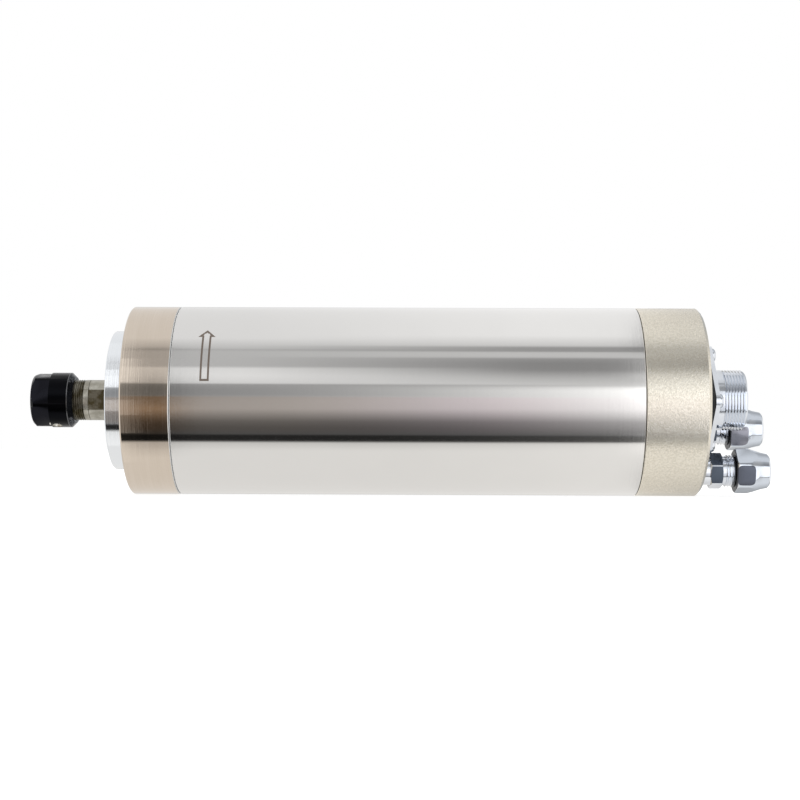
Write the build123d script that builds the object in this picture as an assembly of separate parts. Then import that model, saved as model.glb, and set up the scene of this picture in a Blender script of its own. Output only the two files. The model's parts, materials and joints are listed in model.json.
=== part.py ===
from build123d import *
import os
from math import atan2, cos, degrees, hypot, radians, sin, sqrt, tan

os.makedirs("parts", exist_ok=True)

# Sizes are in millimetres. The spindle lies along X, with the collet at -X and the water and
# power connections at +X. The origin is on the shaft's axis, midway along the barrel.

# Fits: radial gaps, apart from the face gap.
seat_fit = 0.02
run_fit = 0.05
labyrinth_fit = 0.3
face_gap = 0.3

# Barrel and end caps
barrel_radius = 32.5
barrel_length = 157.0
barrel_wall = 2.0
front_cap_length = 16.5
rear_cap_length = 21.5
seam_chamfer = 0.35
cap_edge_chamfer = 1.0
front_edge_chamfer = 0.5
spigot_length = 8.5

# Water jacket between the barrel and the stator
jacket_wall = 5.0
channel_count = 12
channel_depth = 2.7
channel_width = 9.0
channel_margin = 20.0
link_length = 7.0
passage_radius = 1.3
passage_wall = 0.4
cross_drill_radius = 1.6
cross_drill_lift = 0.5
seal_section = 2.0
seal_squeeze = 0.1
seal_groove_width = 2.4
seal_offset = 12.5

# Screws
cap_screw_radius = 2.0
cap_screw_head_radius = 3.5
cap_screw_head_height = 4.0
cap_screw_bite = 9.0
cap_screw_count = 4
front_screw_angle = 45.0
rear_screw_angle = 22.0
cover_screw_radius = 1.5
cover_screw_head_radius = 2.9
cover_screw_bite = 6.0
cover_screw_circle = 20.0
cover_screw_count = 4
hole_margin = 0.2
tap_extra = 1.5

# Nose cover
nose_cover_gap = 0.5
nose_cover_thickness = 6.4
nose_cover_wall = 3.0
nose_cover_spigot = 3.0
nose_cover_round = 0.3

# Bearings
front_bearing_bore = 15.0
front_bearing_diameter = 32.0
front_bearing_width = 9.0
front_bearing_count = 2
rear_bearing_bore = 12.0
rear_bearing_diameter = 28.0
rear_bearing_width = 8.0
bearing_ring_share = 0.28
ball_radius = 2.38
ball_gap = 0.08
ball_sides = 5
front_ball_count = 9
rear_ball_count = 8
cage_width = 6.4
cage_gap = 0.3
pocket_gap = 0.12
rear_plate_thickness = 12.5
rear_plate_lip = 2.2
preload_thickness = 1.3
lead_slot_width = 12.0
lead_slot_wall = 3.0
lead_radius = 0.8
lead_spacing = 2.6
lead_circle = 20.0
lead_bend = 2.5
lead_run_out = 2.0
wiring_radius = 22.0
wiring_depth = 6.0

# Shaft
nose_radius = 7.0
nose_front_gap = 5.4
flats_across = 12.2
flats_start = 8.9
flats_run_in = 1.2
shaft_shoulder_radius = 9.5
shaft_shoulder_length = 6.0
shaft_core_radius = 9.0
shaft_tail_length = 3.0
locknut_radius = 10.6
circlip_thickness = 1.0
circlip_height = 1.6
circlip_depth = 0.4

# Motor
stator_length = 80.0
stator_front = -45.0
stator_bore_share = 0.588
stator_slots = 18
stator_slot_width = 2.6
stator_slot_share = 0.62
slot_liner = 0.2
coil_height = 14.0
coil_wall = 6.0
rotor_slots = 14
rotor_slot_width = 2.4
rotor_slot_depth = 3.4
end_ring_width = 7.0
air_gap = 0.35

# Collet and its nut
nut_radius = 9.5
nut_length = 14.3
nut_projection = 34.8
nut_flats_across = 17.0
nut_flats_length = 6.3
nut_flats_turn = 12.3
nut_front_chamfer = 1.1
nut_rear_chamfer = 1.5
nut_mouth_radius = 5.1
nut_mouth_depth = 0.8
nut_dimple_radius = 1.8
nut_dimple_depth = 0.7
nut_dimple_back = 6.1
nut_dimple_angle = 252.0
collet_length = 18.0
collet_recess = 0.6
collet_face_radius = 4.7
collet_radius = 5.75
collet_groove_radius = 5.0
collet_groove_width = 1.3
collet_bore_radius = 3.0
collet_cone_angle = 30.0
collet_taper_angle = 8.0
collet_slits = 6
collet_turn = 7.5
slit_width = 0.5
slit_end = 3.0
shank_room = 14.0

# Power connector, its centre beside the shaft's axis
connector_y = -8.0
connector_z = 0.5
connector_turn = 47.5
connector_flange = 28.0
connector_corner = 4.5
connector_flange_thickness = 1.4
connector_gasket_thickness = 2.3
connector_barrel_radius = 10.3
connector_barrel_length = 10.9
connector_skirt_radius = 9.0
connector_skirt_length = 8.0
connector_wall = 1.7
connector_screw_circle = 15.3
connector_screw_radius = 1.4
connector_screw_head_radius = 2.5
connector_screw_head_height = 1.5
connector_screw_bite = 6.0
insulator_length = 10.0
insulator_recess = 8.9
pin_radius = 1.0
pin_circle = 5.0
pin_reach = 5.5
pin_tail = 3.5
pin_count = 4

# Water fittings: the near one and the far one, beside the shaft's axis
inlet_y = -3.0
inlet_edge_gap = 8.8
outlet_y = 8.9
outlet_z = -9.2
fitting_thread_radius = 4.9
fitting_flange_gap = 0.1
fitting_bite = 8.0
fitting_hex_across = 11.2
fitting_hex_width = 4.2
fitting_hex_turn = 43.0
hose_thread_radius = 5.5
hose_thread_length = 8.0
barb_radius = 2.9
barb_length = 3.0
fitting_bore_radius = 1.9
hose_nut_gap = 4.5
hose_nut_length = 11.8
hose_nut_hex_length = 4.5
hose_nut_tip_length = 3.0
hose_nut_tip_radius = 6.4
hose_nut_thread_length = 5.0
hose_nut_across = 14.0
hose_nut_corner_radius = 7.8
hose_nut_end_radius = 5.9
inlet_nut_turn = 42.0
outlet_nut_turn = 51.0
hose_bore_radius = 4.1
hose_bore_length = 3.6
edge_round = 0.6

# Stations along X and radii worked out from the sizes above
barrel_front = -barrel_length / 2
barrel_rear = barrel_length / 2
front_face = barrel_front - front_cap_length
rear_face = barrel_rear + rear_cap_length
cover_face = front_face - nose_cover_thickness
jacket_outer = barrel_radius - barrel_wall - seat_fit
jacket_bore = barrel_radius - barrel_wall - jacket_wall
spigot_radius = jacket_bore - seat_fit
wall_circle = jacket_bore + jacket_wall / 2
nose_cover_radius = wall_circle - cap_screw_head_radius - nose_cover_gap
inlet_z = inlet_edge_gap - barrel_radius
passage_circle = jacket_bore + passage_wall + passage_radius
front_seat_radius = front_bearing_bore / 2
rear_seat_radius = rear_bearing_bore / 2
front_bearing_radius = front_bearing_diameter / 2
rear_bearing_radius = rear_bearing_diameter / 2
bearings_front = front_face + nose_cover_spigot
bearings_rear = bearings_front + front_bearing_count * front_bearing_width
rear_plate_front = barrel_rear - rear_plate_thickness
rear_bearing_rear = barrel_rear - rear_plate_lip - preload_thickness
rear_bearing_front = rear_bearing_rear - rear_bearing_width
stator_rear = stator_front + stator_length
stator_bore_radius = stator_bore_share * jacket_bore
stator_slot_depth = stator_slot_share * (jacket_bore - stator_bore_radius)
rotor_radius = stator_bore_radius - air_gap
nut_front = front_face - nut_projection
nut_rear = nut_front + nut_length
nose_end = nut_front + nose_front_gap
collet_front = nut_front + collet_recess
cone_length = (collet_radius - collet_face_radius) / tan(radians(collet_cone_angle))
taper_front = collet_front + cone_length + collet_groove_width
collet_rear = collet_front + collet_length
flange_back = rear_face + connector_gasket_thickness
flange_front = flange_back + connector_flange_thickness
connector_end = flange_front + connector_barrel_length
hex_back = flange_front + fitting_flange_gap
hex_front = hex_back + fitting_hex_width
hose_nut_back = hex_front + hose_nut_gap
hose_nut_end = hose_nut_back + hose_nut_length


def save(name, *solids):
    """Write one node, which holds one solid or several like ones."""
    export_step(solids[0] if len(solids) == 1 else Compound(list(solids)), f"parts/{name}.step")


def rod(start, end, radius, y=0.0, z=0.0):
    """A round bar along X from start to end."""
    return Pos((start + end) / 2, y, z) * Rot(0, 90, 0) * Cylinder(radius, end - start)


def turned(*profile):
    """A solid turned about X from the corners (x, radius) of its half section."""
    return revolve(make_face(Polyline(*profile, close=True)), Axis.X, 360)


def sleeve(start, end, outer, bore):
    """A plain ring about X."""
    return turned((start, bore), (end, bore), (end, outer), (start, outer))


def hexagon(start, end, across, turn):
    """A six-sided bar along X, turned about X by an angle in degrees."""
    outline = Plane.YZ.offset(start) * Rot(0, 0, turn) * RegularPolygon(across / 2, 6, major_radius=False)
    return extrude(outline, end - start)


def around(angle, radius):
    """The y and z of a point at an angle and a radius from the axis."""
    return radius * cos(radians(angle)), radius * sin(radians(angle))


def ring_of(count, first=0.0):
    """Angles spread evenly round the axis."""
    return [first + 360.0 * i / count for i in range(count)]


def spoke(start, end, inner, outer, width, angle):
    """A flat bar along X that stands out from the axis at an angle."""
    bar = Pos((start + end) / 2, (inner + outer) / 2, 0) * Box(end - start, outer - inner, width)
    return Rot(angle, 0, 0) * bar


def taper_radius(x, gap=0.0):
    """The radius of the collet's long taper at x."""
    return collet_radius - (x - taper_front) * tan(radians(collet_taper_angle)) + gap


def cap_screw_places(first):
    return [around(a, wall_circle) for a in ring_of(cap_screw_count, first)]


# Ports: the two fittings, and the passage that takes each one's water out to the jacket's wall
port_angles = [degrees(atan2(z, y)) for y, z in ((inlet_y, inlet_z), (outlet_y, outlet_z))]
channel_step = (360.0 - (port_angles[1] - port_angles[0])) / (channel_count - 1)
channel_angles = [port_angles[0] - i * channel_step for i in range(channel_count)]


def make_barrel():
    """The stainless tube, with its ends chamfered at the seams."""
    bore = barrel_radius - barrel_wall
    return turned(
        (barrel_front, bore),
        (barrel_rear, bore),
        (barrel_rear, barrel_radius - seam_chamfer),
        (barrel_rear - seam_chamfer, barrel_radius),
        (barrel_front + seam_chamfer, barrel_radius),
        (barrel_front, barrel_radius - seam_chamfer),
    )


def make_jacket():
    """The sleeve whose grooves lead the water to and fro along the stator."""
    jacket = sleeve(barrel_front, barrel_rear, jacket_outer, jacket_bore)
    floor = jacket_outer - channel_depth
    cuts = []
    for i, angle in enumerate(channel_angles):
        first, last = barrel_front + channel_margin, barrel_rear - channel_margin
        cuts.append(spoke(first, last, floor, barrel_radius, channel_width, angle))
        if i + 1 < channel_count:
            link_start = first if i % 2 == 0 else last - link_length
            middle = angle - channel_step / 2
            link_end = link_start + link_length
            cuts.append(spoke(link_start, link_end, floor, barrel_radius, channel_width, middle))
    for angle in port_angles:
        y, z = around(angle, passage_circle)
        cuts.append(rod(barrel_rear - channel_margin - passage_radius, barrel_rear, passage_radius, y, z))
    for end, inward, first in ((barrel_front, 1, front_screw_angle), (barrel_rear, -1, rear_screw_angle)):
        depth = end + inward * (cap_screw_bite + tap_extra)
        for y, z in cap_screw_places(first):
            cuts.append(rod(min(end, depth), max(end, depth), cap_screw_radius + seat_fit, y, z))
        middle = end + inward * seal_offset
        groove = sleeve(
            middle - seal_groove_width / 2,
            middle + seal_groove_width / 2,
            barrel_radius,
            jacket_outer - seal_section + seal_squeeze,
        )
        cuts.append(groove)
    return jacket - cuts


def make_jacket_seals():
    """A square-section ring in each of the jacket's end grooves."""
    outer = barrel_radius - barrel_wall
    inner = jacket_outer - seal_section + seal_squeeze
    half = seal_section / 2
    places = (barrel_front + seal_offset, barrel_rear - seal_offset)
    return [sleeve(x - half, x + half, outer, inner) for x in places]


def make_front_cap():
    """The flanged housing of the two front bearings."""
    bearing_seat = front_bearing_radius + seat_fit
    spigot_end = barrel_front + spigot_length
    shoulder_bore = front_bearing_radius - (front_bearing_radius - front_seat_radius) * bearing_ring_share
    cap = turned(
        (front_face, bearing_seat),
        (bearings_rear, bearing_seat),
        (bearings_rear, shoulder_bore),
        (spigot_end, shoulder_bore),
        (spigot_end, spigot_radius),
        (barrel_front, spigot_radius),
        (barrel_front, barrel_radius - seam_chamfer),
        (barrel_front - seam_chamfer, barrel_radius),
        (front_face + front_edge_chamfer, barrel_radius),
        (front_face, barrel_radius - front_edge_chamfer),
    )
    cuts = []
    for y, z in cap_screw_places(front_screw_angle):
        head_seat = front_face + cap_screw_head_height + hole_margin
        cuts.append(rod(front_face, head_seat, cap_screw_head_radius + hole_margin, y, z))
        cuts.append(rod(head_seat, barrel_front, cap_screw_radius + hole_margin, y, z))
    for angle in ring_of(cover_screw_count):
        y, z = around(angle, cover_screw_circle)
        depth = front_face + cover_screw_bite + tap_extra
        cuts.append(rod(front_face, depth, cover_screw_radius + seat_fit, y, z))
    return cap - cuts


def make_nose_cover():
    """The bright ring that holds the bearings in and screens the shaft's nose."""
    recess = locknut_radius + labyrinth_fit
    spigot_outer = front_bearing_radius
    cover = turned(
        (cover_face, nose_radius + labyrinth_fit),
        (cover_face + nose_cover_wall, nose_radius + labyrinth_fit),
        (cover_face + nose_cover_wall, recess),
        (bearings_front, recess),
        (bearings_front, spigot_outer),
        (front_face, spigot_outer),
        (front_face, nose_cover_radius),
        (cover_face + nose_cover_round, nose_cover_radius),
        (cover_face, nose_cover_radius - nose_cover_round),
    )
    cuts = []
    for angle in ring_of(cover_screw_count):
        y, z = around(angle, cover_screw_circle)
        cuts.append(rod(cover_face, front_face, cover_screw_radius + hole_margin, y, z))
        cuts.append(countersunk_head(y, z, hole_margin))
    return cover - cuts


def countersunk_head(y, z, gap):
    """The cone of a countersunk screw's head, with its face flush with the nose cover."""
    height = cover_screw_head_radius - cover_screw_radius
    cone = turned(
        (cover_face, 0),
        (cover_face + height, 0),
        (cover_face + height, cover_screw_radius + gap),
        (cover_face, cover_screw_head_radius + gap),
    )
    return Pos(0, y, z) * cone


def make_cover_screws():
    screws = []
    for angle in ring_of(cover_screw_count):
        y, z = around(angle, cover_screw_circle)
        shank = rod(cover_face, front_face + cover_screw_bite, cover_screw_radius, y, z)
        screws.append((shank + countersunk_head(y, z, 0.0)).solid())
    return screws


def make_cap_screws():
    """The screws that draw each cap on to the jacket, heads sunk at the front and at the rear."""
    screws = []
    for y, z in cap_screw_places(front_screw_angle):
        head_seat = front_face + cap_screw_head_height + hole_margin
        shank = rod(head_seat, barrel_front + cap_screw_bite, cap_screw_radius, y, z)
        head = rod(head_seat - cap_screw_head_height, head_seat, cap_screw_head_radius, y, z)
        screws.append((shank + head).solid())
    for y, z in cap_screw_places(rear_screw_angle):
        head_seat = rear_face - cap_screw_head_height - hole_margin
        shank = rod(barrel_rear - cap_screw_bite, head_seat, cap_screw_radius, y, z)
        head = rod(head_seat, head_seat + cap_screw_head_height, cap_screw_head_radius, y, z)
        screws.append((shank + head).solid())
    return screws


def make_rear_cap():
    """The thick end cap with the connector's hole and the two water ports."""
    cap = turned(
        (barrel_rear, 0),
        (rear_face, 0),
        (rear_face, barrel_radius - cap_edge_chamfer),
        (rear_face - cap_edge_chamfer, barrel_radius),
        (barrel_rear + seam_chamfer, barrel_radius),
        (barrel_rear, barrel_radius - seam_chamfer),
    )
    cuts = [rod(barrel_rear, rear_face, connector_skirt_radius + hole_margin, connector_y, connector_z)]
    cuts.append(rod(barrel_rear, barrel_rear + wiring_depth, wiring_radius))
    for y, z in connector_screw_places():
        depth = connector_screw_bite + tap_extra
        cuts.append(rod(rear_face - depth, rear_face, connector_screw_radius + seat_fit, y, z))
    for y, z in ((inlet_y, inlet_z), (outlet_y, outlet_z)):
        angle = degrees(atan2(z, y))
        port_floor = rear_face - fitting_bite - tap_extra
        cuts.append(rod(port_floor, rear_face, fitting_thread_radius + seat_fit, y, z))
        drill_x = port_floor + cross_drill_radius + cross_drill_lift
        start = hypot(y, z)
        drill = Rot(90, 0, 0) * Cylinder(cross_drill_radius, passage_circle - start)
        cuts.append(Rot(angle, 0, 0) * Pos(drill_x, (start + passage_circle) / 2, 0) * drill)
        cuts.append(rod(barrel_rear, drill_x, passage_radius, *around(angle, passage_circle)))
    for y, z in cap_screw_places(rear_screw_angle):
        head_seat = rear_face - cap_screw_head_height - hole_margin
        cuts.append(rod(head_seat, rear_face, cap_screw_head_radius + hole_margin, y, z))
        cuts.append(rod(barrel_rear, head_seat, cap_screw_radius + hole_margin, y, z))
    return cap - cuts


def make_rear_plate():
    """The disc inside the jacket that carries the rear bearing."""
    lip_bore = rear_bearing_radius - (rear_bearing_radius - rear_seat_radius) * bearing_ring_share
    plate = turned(
        (rear_plate_front, rear_bearing_radius + seat_fit),
        (barrel_rear - rear_plate_lip, rear_bearing_radius + seat_fit),
        (barrel_rear - rear_plate_lip, lip_bore),
        (barrel_rear, lip_bore),
        (barrel_rear, spigot_radius),
        (rear_plate_front, spigot_radius),
    )
    lead_floor = rear_bearing_radius + lead_slot_wall
    lead_slot = spoke(rear_plate_front, barrel_rear, lead_floor, jacket_bore, lead_slot_width, 180.0)
    return plate - lead_slot


def bearing_rings(front, width, bore_radius, outer_radius):
    """The outer and the inner ring, each with its raceway groove round the balls."""
    thickness = (outer_radius - bore_radius) * bearing_ring_share
    pitch = (outer_radius + bore_radius) / 2
    groove = Pos(front + width / 2, pitch) * Circle(ball_radius + ball_gap)
    rings = []
    outer_span = (outer_radius - thickness, outer_radius)
    inner_span = (bore_radius + seat_fit, bore_radius + thickness)
    for low, high in (outer_span, inner_span):
        section = Pos(front + width / 2, (low + high) / 2) * Rectangle(width, high - low)
        rings.append(revolve(section - groove, Axis.X, 360))
    return rings


def bearing_balls(front, width, bore_radius, outer_radius, count):
    """The balls of one bearing, and the cage that spaces them."""
    pitch = (outer_radius + bore_radius) / 2
    land_gap = (outer_radius - bore_radius) * (1 - 2 * bearing_ring_share)
    half = land_gap / 2 - cage_gap
    middle = front + width / 2
    cage = sleeve(middle - cage_width / 2, middle + cage_width / 2, pitch + half, pitch - half)
    pocket = Pos(middle, pitch, 0) * Rot(90, 0, 0) * Cylinder(ball_radius + pocket_gap, land_gap)
    cage -= [Rot(a, 0, 0) * pocket for a in ring_of(count)]
    steps = [radians(180.0 * i / ball_sides) for i in range(ball_sides + 1)]
    ball = turned(*[(ball_radius * cos(t), ball_radius * sin(t)) for t in steps])
    balls = [Rot(a, 0, 0) * Pos(middle, pitch, 0) * ball for a in ring_of(count)]
    return balls, cage


def make_shaft():
    """The spindle shaft, from the collet's taper at the nose to the rear bearing's seat."""
    socket_end = collet_rear + face_gap
    socket_front = taper_radius(nose_end, run_fit)
    socket_back = taper_radius(socket_end, run_fit)
    shank_end = socket_end + shank_room
    shoulder_end = bearings_rear + shaft_shoulder_length
    tail_front = rear_bearing_front
    tail_end = barrel_rear + shaft_tail_length - face_gap
    shaft = turned(
        (nose_end, socket_front),
        (socket_end, socket_back),
        (socket_end, collet_bore_radius + hole_margin),
        (shank_end, collet_bore_radius + hole_margin),
        (shank_end, 0),
        (tail_end, 0),
        (tail_end, rear_seat_radius),
        (tail_front, rear_seat_radius),
        (tail_front, shaft_core_radius),
        (shoulder_end, shaft_core_radius),
        (shoulder_end, shaft_shoulder_radius),
        (bearings_rear, shaft_shoulder_radius),
        (bearings_rear, front_seat_radius),
        (cover_face + nose_cover_wall + face_gap, front_seat_radius),
        (cover_face + nose_cover_wall + face_gap, nose_radius),
        (nose_end, nose_radius),
    )
    flats_front = cover_face - flats_start
    flats_rear = cover_face + flats_run_in
    for side in (-1, 1):
        flat = Box(flats_rear - flats_front, nose_radius, 2 * nose_radius)
        shaft -= Pos((flats_front + flats_rear) / 2, side * (flats_across + nose_radius) / 2, 0) * flat
    groove = sleeve(
        rear_bearing_rear,
        rear_bearing_rear + circlip_thickness + run_fit,
        rear_seat_radius + circlip_height,
        rear_seat_radius - circlip_depth,
    )
    return shaft - groove


def make_nut():
    """The collet nut: six flats, a round skirt with a balancing dimple, and a cone inside."""
    seat_end = nut_front + nut_mouth_depth + cone_length
    thread_radius = nose_radius + run_fit
    body = turned(
        (nut_front, nut_mouth_radius),
        (nut_front + nut_mouth_depth, nut_mouth_radius),
        (seat_end, collet_radius + hole_margin),
        (seat_end + collet_groove_width, collet_radius + hole_margin),
        (seat_end + collet_groove_width, thread_radius),
        (nut_rear, thread_radius),
        (nut_rear, nut_radius - nut_rear_chamfer),
        (nut_rear - nut_rear_chamfer, nut_radius),
        (nut_front + nut_front_chamfer, nut_radius),
        (nut_front, nut_radius - nut_front_chamfer),
    )
    flats_end = nut_front + nut_flats_length
    collar = sleeve(nut_front, flats_end, 2 * nut_radius, nut_mouth_radius / 2)
    cutter = collar - hexagon(nut_front, flats_end, nut_flats_across, nut_flats_turn)
    dimple = Pos(nut_rear - nut_dimple_back, nut_radius, 0) * Rot(90, 0, 0)
    dimple *= Cylinder(nut_dimple_radius, 2 * nut_dimple_depth)
    return body - cutter - Rot(nut_dimple_angle, 0, 0) * dimple


def make_collet():
    """The slit spring collet, its slits cut from both ends in turn."""
    cone_end = collet_front + cone_length
    collet = turned(
        (collet_front, collet_bore_radius),
        (collet_rear, collet_bore_radius),
        (collet_rear, taper_radius(collet_rear)),
        (taper_front, collet_radius),
        (taper_front, collet_groove_radius),
        (cone_end, collet_groove_radius),
        (cone_end, collet_radius),
        (collet_front, collet_face_radius),
    )
    cuts = []
    for angle in ring_of(collet_slits, collet_turn):
        cuts.append(spoke(collet_front, collet_rear - slit_end, 0, nut_radius, slit_width, angle))
    for angle in ring_of(collet_slits, collet_turn + 180.0 / collet_slits):
        cuts.append(spoke(collet_front + slit_end, collet_rear, 0, nut_radius, slit_width, angle))
    return collet - cuts


def make_stator_core():
    core = sleeve(stator_front, stator_rear, jacket_bore - seat_fit, stator_bore_radius)
    floor = stator_bore_radius + stator_slot_depth
    slots = [spoke(stator_front, stator_rear, 0, floor, stator_slot_width, a) for a in ring_of(stator_slots)]
    return core - slots


def make_windings():
    """The coil sides in the slots and the two moulded coil heads, as one impregnated piece."""
    inner = stator_bore_radius + 4 * slot_liner
    outer = inner + coil_wall
    width = stator_slot_width - 2 * slot_liner
    top = stator_bore_radius + stator_slot_depth - slot_liner
    windings = sleeve(stator_front - coil_height, stator_front - face_gap, outer, inner)
    windings += sleeve(stator_rear + face_gap, stator_rear + coil_height, outer, inner)
    reach = 2 * face_gap
    front, rear = stator_front - reach, stator_rear + reach
    sides = [spoke(front, rear, inner, top, width, a) for a in ring_of(stator_slots)]
    return (windings + sides).solid()


def make_rotor_core():
    core = sleeve(stator_front, stator_rear, rotor_radius, shaft_core_radius + seat_fit)
    floor = rotor_radius - rotor_slot_depth
    slots = [
        spoke(stator_front, stator_rear, floor, stator_bore_radius, rotor_slot_width, a)
        for a in ring_of(rotor_slots)
    ]
    return core - slots


def make_rotor_cage():
    """The cast bars in the rotor's slots and the end rings that join them."""
    outer = rotor_radius - seat_fit
    inner = rotor_radius - rotor_slot_depth + seat_fit
    cage = sleeve(stator_front - end_ring_width, stator_front, outer, inner)
    cage += sleeve(stator_rear, stator_rear + end_ring_width, outer, inner)
    width = rotor_slot_width - 2 * seat_fit
    rim = sqrt(outer**2 - width**2 / 4)
    front, rear = stator_front - end_ring_width / 2, stator_rear + end_ring_width / 2
    bars = [spoke(front, rear, inner, rim, width, a) for a in ring_of(rotor_slots)]
    return (cage + bars).solid()


def connector_screw_places():
    """Screw places at the corners of the connector's flange."""
    places = []
    for angle in ring_of(pin_count, connector_turn + 180.0 / pin_count):
        y, z = around(angle, connector_screw_circle)
        places.append((connector_y + y, connector_z + z))
    return places


def connector_plate(start, end, bore):
    """A square plate with round corners, a round hole and the four screw holes."""
    outline = RectangleRounded(connector_flange, connector_flange, connector_corner)
    place = Plane.YZ.offset(start) * Pos(connector_y, connector_z) * Rot(0, 0, connector_turn)
    plate = extrude(place * outline, end - start)
    cuts = [rod(start, end, bore, connector_y, connector_z)]
    hole = connector_screw_radius + hole_margin
    cuts += [rod(start, end, hole, y, z) for y, z in connector_screw_places()]
    return plate - cuts


def make_connector_shell():
    """The socket's metal shell: square flange, threaded barrel outside and skirt inside."""
    bore = connector_barrel_radius - connector_wall
    barrel = turned(
        (flange_back - connector_skirt_length, bore),
        (connector_end, bore),
        (connector_end, connector_barrel_radius - edge_round),
        (connector_end - edge_round, connector_barrel_radius),
        (flange_back, connector_barrel_radius),
        (flange_back, connector_skirt_radius),
        (flange_back - connector_skirt_length, connector_skirt_radius),
    )
    plate = connector_plate(flange_back, flange_front, bore)
    return (plate + Pos(0, connector_y, connector_z) * barrel).solid()


def pin_places():
    spots = [around(a, pin_circle) for a in ring_of(pin_count, connector_turn + 180.0 / pin_count)]
    return [(connector_y + y, connector_z + z) for y, z in spots]


insulator_face = connector_end - insulator_recess
insulator_back = insulator_face - insulator_length


def make_insulator():
    """The moulded disc that holds the pins."""
    radius = connector_barrel_radius - connector_wall - seat_fit
    disc = rod(insulator_back, insulator_face, radius, connector_y, connector_z)
    hole = pin_radius + seat_fit
    return disc - [rod(insulator_back, insulator_face, hole, y, z) for y, z in pin_places()]


def make_pins():
    back, tip = insulator_back - pin_tail, insulator_face + pin_reach
    return [rod(back, tip, pin_radius, y, z) for y, z in pin_places()]


def make_lead_wires():
    """The phase and earth leads from the rear coil head, past the bearing plate, to the pins."""
    first_x = stator_rear + coil_height
    turn_x = barrel_rear + lead_run_out
    last_x = insulator_back - pin_tail
    wires = []
    by_height = sorted(pin_places(), key=lambda place: place[1])
    for i, (y, z) in enumerate(by_height):
        row = (i - (pin_count - 1) / 2) * lead_spacing
        bend_x = barrel_rear + wiring_depth + lead_run_out
        points = [(first_x, -lead_circle, row), (turn_x, -lead_circle, row), (bend_x, y, z), (last_x, y, z)]
        path = FilletPolyline(*points, radius=lead_bend)
        wires.append(sweep(Plane(path @ 0, z_dir=path % 0) * Circle(lead_radius), path))
    return wires


def make_connector_screws():
    screws = []
    for y, z in connector_screw_places():
        shank = rod(rear_face - connector_screw_bite, flange_front, connector_screw_radius, y, z)
        head_top = flange_front + connector_screw_head_height
        head = rod(flange_front, head_top, connector_screw_head_radius, y, z)
        screws.append((shank + head).solid())
    return screws


def make_fitting(y, z):
    """A male connector screwed into the cap, with a thread and a spout for the hose."""
    thread_end = hex_front + hose_thread_length
    body = turned(
        (rear_face - fitting_bite, fitting_bore_radius),
        (thread_end + barb_length, fitting_bore_radius),
        (thread_end + barb_length, barb_radius - edge_round),
        (thread_end, barb_radius),
        (thread_end, hose_thread_radius),
        (hex_front - edge_round, hose_thread_radius),
        (hex_front - edge_round, fitting_thread_radius),
        (rear_face - fitting_bite, fitting_thread_radius),
    )
    corner_radius = fitting_hex_across / sqrt(3)
    crown = turned(
        (hex_back, fitting_thread_radius),
        (hex_front, fitting_thread_radius),
        (hex_front, corner_radius - edge_round),
        (hex_front - edge_round / 2, corner_radius),
        (hex_back + edge_round / 2, corner_radius),
        (hex_back, corner_radius - edge_round),
    )
    flats = hexagon(hex_back, hex_front, fitting_hex_across, fitting_hex_turn) & crown
    return Pos(0, y, z) * (body + flats).solid()


def make_hose_nut(y, z, turn):
    """The nut that squeezes the hose on to the spout: six flats behind, a cone in front."""
    bore = hose_thread_radius + run_fit
    hex_end = hose_nut_back + hose_nut_hex_length
    bore_start = hose_nut_end - hose_bore_length
    nut = turned(
        (hose_nut_back, bore),
        (hose_nut_back + hose_nut_thread_length, bore),
        (bore_start, hose_bore_radius),
        (hose_nut_end, hose_bore_radius),
        (hose_nut_end, hose_nut_end_radius - edge_round),
        (hose_nut_end - edge_round, hose_nut_end_radius),
        (hose_nut_end - hose_nut_tip_length, hose_nut_tip_radius),
        (hex_end, hose_nut_corner_radius),
        (hose_nut_back + edge_round, hose_nut_corner_radius),
        (hose_nut_back, hose_nut_corner_radius - edge_round),
    )
    flats = hexagon(hose_nut_back, hose_nut_end, hose_nut_across, turn)
    return Pos(0, y, z) * (nut & flats)

front_sizes = (front_bearing_width, front_seat_radius, front_bearing_radius)
rear_sizes = (rear_bearing_front, rear_bearing_width, rear_seat_radius, rear_bearing_radius)
front_rows = [bearings_front + i * front_bearing_width for i in range(front_bearing_count)]
rings = [bearing_rings(row, *front_sizes) for row in front_rows] + [bearing_rings(*rear_sizes)]
front_balls = [bearing_balls(row, *front_sizes, front_ball_count) for row in front_rows]
rear_balls, rear_cage = bearing_balls(*rear_sizes, rear_ball_count)

save("barrel_tube", make_barrel())
save("water_jacket", make_jacket())
save("jacket_seals", *make_jacket_seals())
save("front_cap", make_front_cap())
save("nose_cover", make_nose_cover())
save("cover_screws", *make_cover_screws())
save("rear_cap", make_rear_cap())
save("cap_screws", *make_cap_screws())
save("rear_bearing_plate", make_rear_plate())
save("bearing_outer_rings", *[outer for outer, inner in rings])
save("bearing_inner_rings", *[inner for outer, inner in rings])
save("front_bearing_balls", *[ball for balls, cage in front_balls for ball in balls])
save("front_bearing_cages", *[cage for balls, cage in front_balls])
save("rear_bearing_balls", *rear_balls)
save("rear_bearing_cage", rear_cage)
save("preload_spring", sleeve(
    rear_bearing_rear,
    barrel_rear - rear_plate_lip,
    rear_bearing_radius - labyrinth_fit,
    rear_bearing_radius - (rear_bearing_radius - rear_seat_radius) * bearing_ring_share,
))
save("spindle_shaft", make_shaft())
save("bearing_locknut", sleeve(
    cover_face + nose_cover_wall + face_gap, bearings_front, locknut_radius, front_seat_radius + seat_fit
))
save("shaft_circlip", sleeve(
    rear_bearing_rear,
    rear_bearing_rear + circlip_thickness,
    rear_seat_radius + circlip_height - face_gap,
    rear_seat_radius - circlip_depth,
))
save("stator_core", make_stator_core())
save("stator_windings", make_windings())
save("rotor_core", make_rotor_core())
save("rotor_cage", make_rotor_cage())
save("spring_collet", make_collet())
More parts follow.
